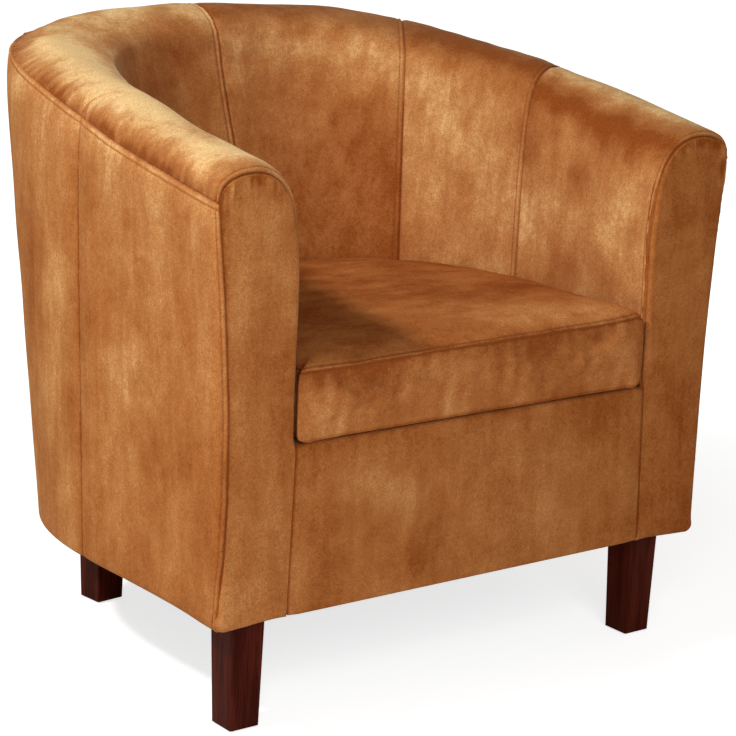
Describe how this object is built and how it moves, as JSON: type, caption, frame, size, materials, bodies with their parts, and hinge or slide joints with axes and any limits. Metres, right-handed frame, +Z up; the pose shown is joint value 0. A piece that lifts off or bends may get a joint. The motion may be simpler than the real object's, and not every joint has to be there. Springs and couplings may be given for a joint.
{
  "type": "lounge chair",
  "caption": "Tub armchair with a rolled horseshoe arm and back in panelled velvet, a lift-out seat cushion and square tapered wooden legs.",
  "frame": {"origin": "on the floor under the middle of the chair's width and depth", "axes": "+Z up, the front of the seat faces -Y, +X to the viewer's right when looking at the front"},
  "size_m": [0.71, 0.646, 0.721],
  "materials": {
    "velvet": "mottled short-pile velvet in caramel brown",
    "leg_wood": "dark stained satin lacquer",
    "frame_wood": "bare softwood and plywood",
    "fibreboard": "thin bare fibreboard",
    "foam": "upholstery foam",
    "webbing": "woven elastic webbing",
    "black_cloth": "non-woven cloth",
    "glide_plastic": "matt moulded",
    "steel_fasteners": "zinc plated"
  },
  "bodies": {
    "chair_body": {"arm_facing_left": "velvet", "arm_facing_pad_left": "foam", "arm_facing_pad_right": "foam", "arm_facing_right": "velvet", "arm_front_board_left": "frame_wood", "arm_front_board_right": "frame_wood", "base_rim_arm_left": "frame_wood", "base_rim_arm_right": "frame_wood", "base_rim_back": "frame_wood", "dust_cloth": "black_cloth", "foam_arm_left": "foam", "foam_arm_right": "foam", "foam_back": "foam", "foam_side_left": "foam", "foam_side_right": "foam", "front_base_rail": "frame_wood", "front_rail_board": "frame_wood", "front_rail_cover": "velvet", "front_rail_pad": "foam", "inner_cover_arm_left": "velvet", "inner_cover_arm_right": "velvet", "inner_cover_back_left": "velvet", "inner_cover_back_right": "velvet", "inner_cover_side_left": "velvet", "inner_cover_side_right": "velvet", "leg_back_left": "leg_wood", "leg_back_right": "leg_wood", "leg_bolts": "steel_fasteners", "leg_front_left": "leg_wood", "leg_front_right": "leg_wood", "leg_glides": "glide_plastic", "leg_tee_nuts": "steel_fasteners", "liner_arm_left": "fibreboard", "liner_arm_right": "fibreboard", "liner_back": "fibreboard", "outer_board_arm_left": "fibreboard", "outer_board_arm_right": "fibreboard", "outer_board_back": "fibreboard", "outer_cover_arm_left": "velvet", "outer_cover_arm_right": "velvet", "outer_cover_back": "velvet", "post_back_left": "frame_wood", "post_back_right": "frame_wood", "post_front_left": "frame_wood", "post_front_right": "frame_wood", "post_side_left": "frame_wood", "post_side_right": "frame_wood", "seat_deck_cloth": "black_cloth", "seat_rail_back": "frame_wood", "seat_rail_front": "frame_wood", "seat_rail_left": "frame_wood", "seat_rail_right": "frame_wood", "top_rail_arm_left": "frame_wood", "top_rail_arm_right": "frame_wood", "top_rail_back": "frame_wood", "webbing_crosswise": "webbing", "webbing_lengthwise": "webbing"},
    "seat_cushion": {"cushion_cover": "velvet", "cushion_core": "foam"}
  },
  "joints": [
    {"name": "cushion_lift", "type": "slide", "parent": "chair_body", "child": "seat_cushion", "axis": [0, 0, 1], "range_m": [0, 0.42]}
  ]
}
